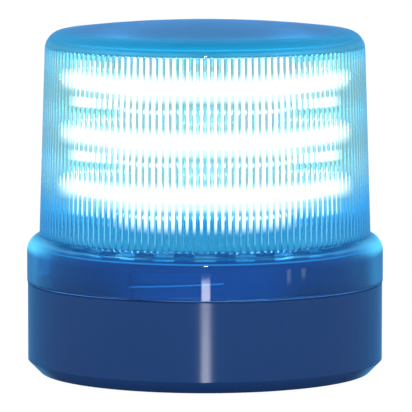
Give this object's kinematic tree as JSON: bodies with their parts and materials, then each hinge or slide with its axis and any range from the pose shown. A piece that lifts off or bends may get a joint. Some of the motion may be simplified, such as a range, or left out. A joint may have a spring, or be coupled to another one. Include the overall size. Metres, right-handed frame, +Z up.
{
  "type": "flashing beacon",
  "caption": "Round surface-mount flashing beacon: a fluted clear blue lens dome on a bayonet collar, over stacked LED light rings and a dark base with fixing holes and a cable entry.",
  "frame": {"origin": "on the axis, at the underside of the base", "axes": "+Z up the axis towards the crown, -Y towards the front"},
  "size_m": [0.1, 0.1, 0.0982],
  "materials": {
    "lens_blue": "clear blue polycarbonate, moulded gloss",
    "base_navy": "dark navy moulded plastic, satin gloss",
    "ring_navy": "dark navy moulded plastic",
    "seal_rubber": "matt black rubber",
    "screw_steel": "zinc-plated steel",
    "board_green": "solder-masked glass-epoxy board",
    "terminal_grey": "grey moulded plastic",
    "contact_brass": "tinned brass",
    "switch_red": "red moulded plastic",
    "slider_white": "white moulded plastic",
    "can_sleeve": "black heat-shrunk sleeve",
    "ferrite": "dark grey ferrite",
    "varistor_lacquer": "blue dipped lacquer",
    "chip_black": "black moulded epoxy",
    "white_plastic": "white reflective plastic",
    "board_white": "white solder-masked board",
    "led_white": "LED package, lit",
    "ring_opal": "opal light ring, lit"
  },
  "bodies": {
    "base": {"base_cup": "base_navy", "bayonet_ring": "ring_navy", "dome_seal": "seal_rubber", "foot_pad": "seal_rubber", "cable_grommet": "seal_rubber", "ring_screws": "screw_steel", "board_screws": "screw_steel", "deck_screws": "screw_steel", "power_board": "board_green", "terminal_block": "terminal_grey", "terminal_screws": "screw_steel", "wire_clamps": "contact_brass", "mode_switch": "switch_red", "storage_capacitor": "can_sleeve", "choke": "ferrite", "surge_varistor": "varistor_lacquer", "driver_chips": "chip_black", "feed_header": "chip_black", "feed_pins": "contact_brass", "deck": "white_plastic", "tower_bolt": "screw_steel", "tower_cap": "white_plastic", "tower_nut": "screw_steel", "spacer_lower": "white_plastic", "tier_board_lower": "board_white", "leds_lower": "led_white", "light_ring_lower": "ring_opal", "spacer_middle": "white_plastic", "tier_board_middle": "board_white", "leds_middle": "led_white", "light_ring_middle": "ring_opal", "spacer_upper": "white_plastic", "tier_board_upper": "board_white", "leds_upper": "led_white", "light_ring_upper": "ring_opal"},
    "dome": {"dome_lens": "lens_blue"},
    "slider_1": {"mode_slider_1": "slider_white"},
    "slider_2": {"mode_slider_2": "slider_white"},
    "slider_3": {"mode_slider_3": "slider_white"},
    "slider_4": {"mode_slider_4": "slider_white"}
  },
  "joints": [
    {"name": "dome_twist", "type": "hinge", "parent": "base", "child": "dome", "pos_m": [0, 0, 0.0254], "axis": [0, 0, 1], "range_deg": [0, 36]},
    {"name": "mode_slider_1_slide", "type": "slide", "parent": "base", "child": "slider_1", "axis": [0, 1, 0], "range_m": [0, 0.0015]},
    {"name": "mode_slider_2_slide", "type": "slide", "parent": "base", "child": "slider_2", "axis": [0, 1, 0], "range_m": [-0.0015, 0]},
    {"name": "mode_slider_3_slide", "type": "slide", "parent": "base", "child": "slider_3", "axis": [0, 1, 0], "range_m": [0, 0.0015]},
    {"name": "mode_slider_4_slide", "type": "slide", "parent": "base", "child": "slider_4", "axis": [0, 1, 0], "range_m": [-0.0015, 0]}
  ]
}
